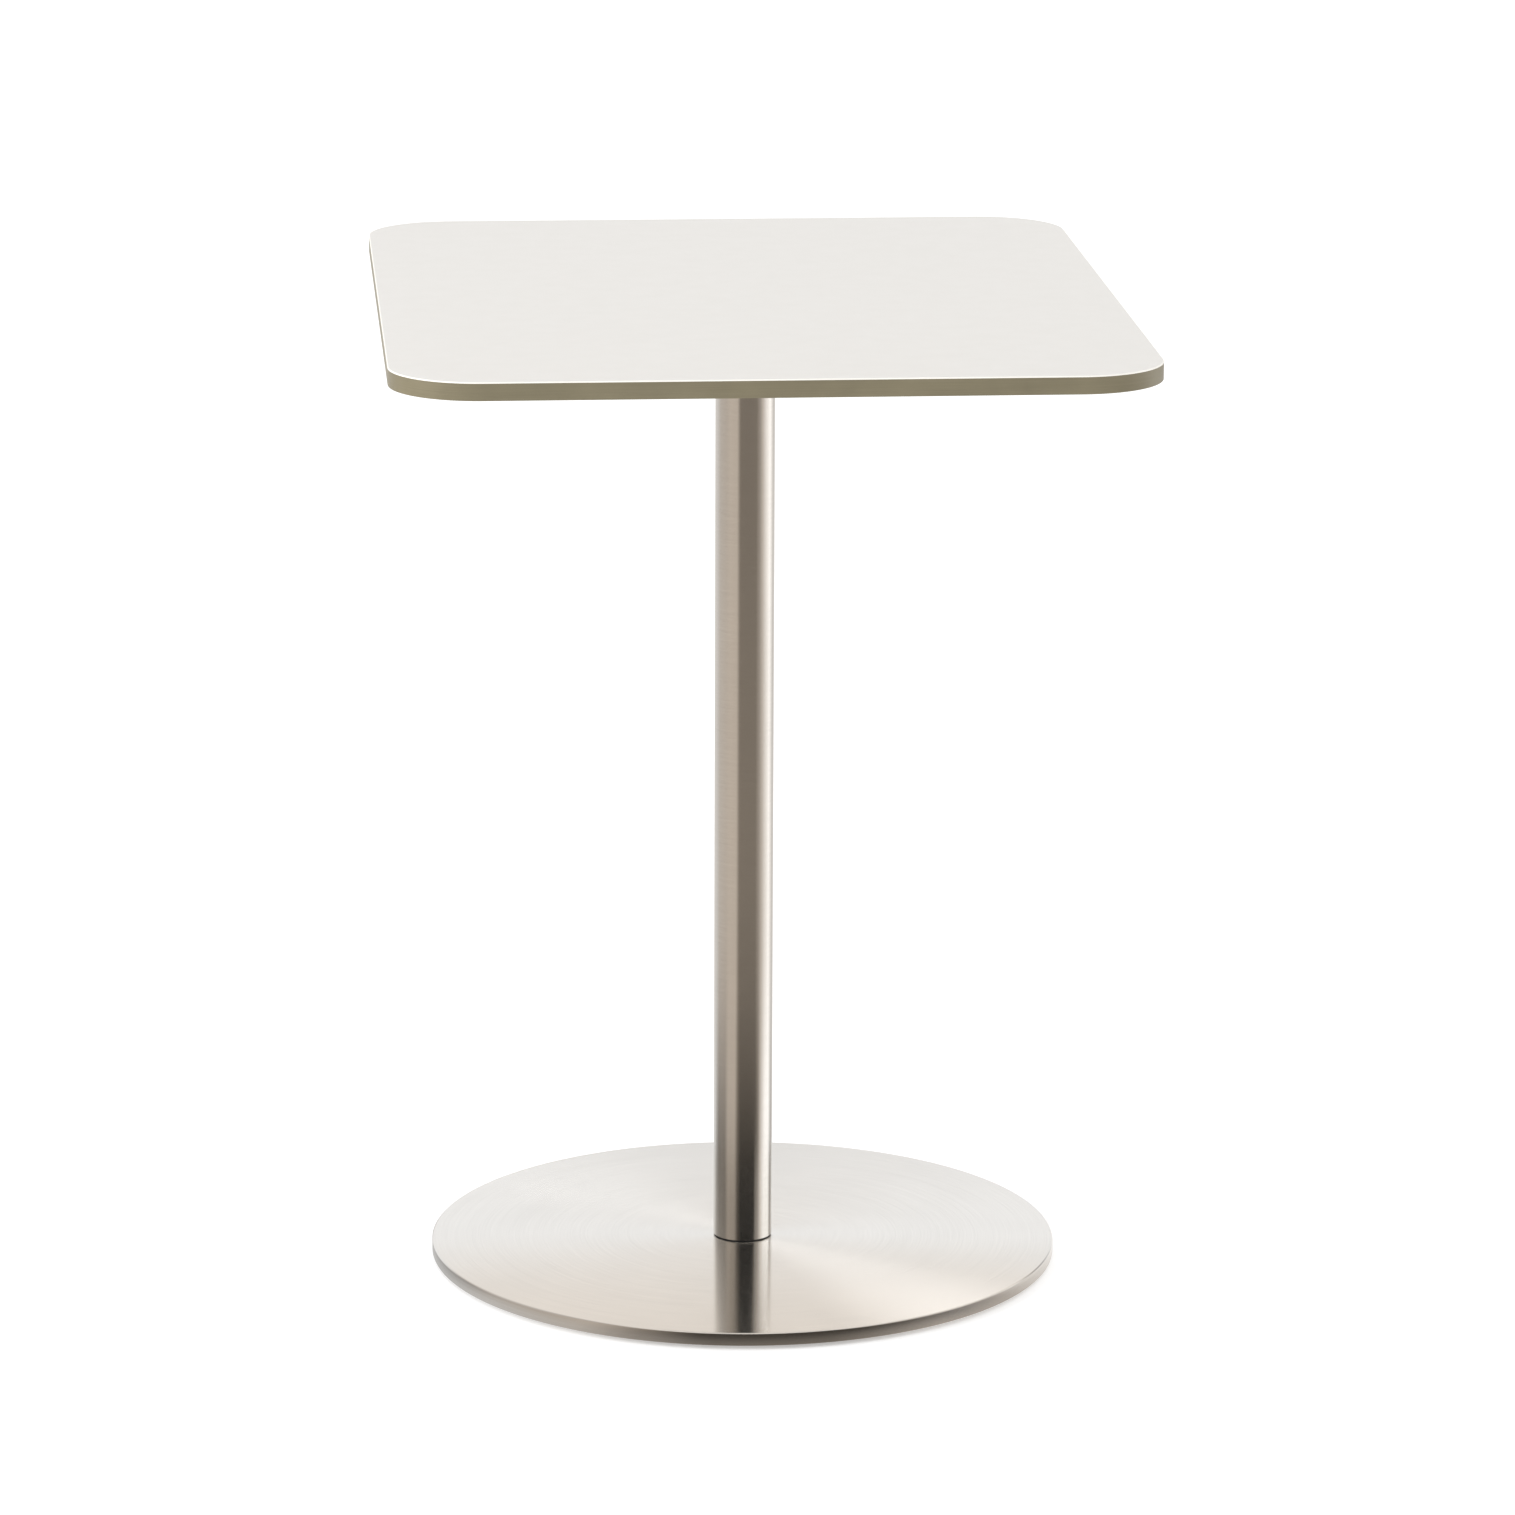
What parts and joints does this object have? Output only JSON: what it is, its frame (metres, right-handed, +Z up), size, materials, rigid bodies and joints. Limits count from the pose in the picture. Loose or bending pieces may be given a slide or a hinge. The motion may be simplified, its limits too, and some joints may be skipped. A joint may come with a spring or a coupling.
{
  "type": "bistro table",
  "caption": "Bistro table: off-white laminated rectangular top with rounded corners, round brushed-steel column, flat round steel base plate, levelling glides.",
  "frame": {"origin": "on the floor, on the column's axis, under the centre of the base plate", "axes": "+Z up along the column; +X parallel to the short sides of the top and +Y to its long sides"},
  "size_m": [0.55, 0.7, 0.75],
  "materials": {
    "laminate": "satin high-pressure laminate, off-white",
    "backing": "plain balancing laminate, light grey",
    "edge_band": "satin plastic edge band, olive beige",
    "core_board": "raw medium-density fibre board",
    "brass": "turned brass",
    "black_steel": "fine-textured black powder coat",
    "zinc_steel": "bright zinc plate",
    "turned_steel": "turned, unplated",
    "column_steel": "satin stainless steel, ground round the tube",
    "base_steel": "satin stainless steel, brushed in circles",
    "gasket_rubber": "matte black",
    "black_nylon": "moulded, matte"
  },
  "bodies": {
    "frame": {"top_laminate": "laminate", "core_board": "core_board", "backing_laminate": "backing", "edge_band": "edge_band", "threaded_inserts": "brass", "mounting_plate": "black_steel", "plate_screws": "zinc_steel", "plate_washers": "zinc_steel", "head_bolt": "zinc_steel", "head_plug": "turned_steel", "head_dowels": "turned_steel", "column_tube": "column_steel", "foot_plug": "turned_steel", "foot_dowels": "turned_steel", "foot_gasket": "gasket_rubber", "foot_bolt": "zinc_steel", "base_plate": "base_steel"},
    "glide_pad_1": {"glide_pad_1": "black_nylon"},
    "glide_stud_1": {"glide_stud_1": "zinc_steel"},
    "glide_pad_2": {"glide_pad_2": "black_nylon"},
    "glide_stud_2": {"glide_stud_2": "zinc_steel"},
    "glide_pad_3": {"glide_pad_3": "black_nylon"},
    "glide_stud_3": {"glide_stud_3": "zinc_steel"},
    "glide_pad_4": {"glide_pad_4": "black_nylon"},
    "glide_stud_4": {"glide_stud_4": "zinc_steel"}
  },
  "joints": [
    {"name": "glide_travel_1", "type": "slide", "parent": "frame", "child": "glide_pad_1", "axis": [0, 0, -1], "range_m": [0, 0.004]},
    {"name": "glide_turn_1", "type": "hinge", "parent": "glide_pad_1", "child": "glide_stud_1", "pos_m": [0.14849, 0.14849, 0.003], "axis": [0, 0, -1], "range_deg": [0, 1152]},
    {"name": "glide_travel_2", "type": "slide", "parent": "frame", "child": "glide_pad_2", "axis": [0, 0, -1], "range_m": [0, 0.004]},
    {"name": "glide_turn_2", "type": "hinge", "parent": "glide_pad_2", "child": "glide_stud_2", "pos_m": [-0.14849, 0.14849, 0.003], "axis": [0, 0, -1], "range_deg": [0, 1152]},
    {"name": "glide_travel_3", "type": "slide", "parent": "frame", "child": "glide_pad_3", "axis": [0, 0, -1], "range_m": [0, 0.004]},
    {"name": "glide_turn_3", "type": "hinge", "parent": "glide_pad_3", "child": "glide_stud_3", "pos_m": [-0.14849, -0.14849, 0.003], "axis": [0, 0, -1], "range_deg": [0, 1152]},
    {"name": "glide_travel_4", "type": "slide", "parent": "frame", "child": "glide_pad_4", "axis": [0, 0, -1], "range_m": [0, 0.004]},
    {"name": "glide_turn_4", "type": "hinge", "parent": "glide_pad_4", "child": "glide_stud_4", "pos_m": [0.14849, -0.14849, 0.003], "axis": [0, 0, -1], "range_deg": [0, 1152]}
  ],
  "couplings": [
    {"joint": "glide_turn_1", "follows": "glide_travel_1", "rad_per_m": 5026.5},
    {"joint": "glide_turn_2", "follows": "glide_travel_2", "rad_per_m": 5026.5},
    {"joint": "glide_turn_3", "follows": "glide_travel_3", "rad_per_m": 5026.5},
    {"joint": "glide_turn_4", "follows": "glide_travel_4", "rad_per_m": 5026.5}
  ]
}
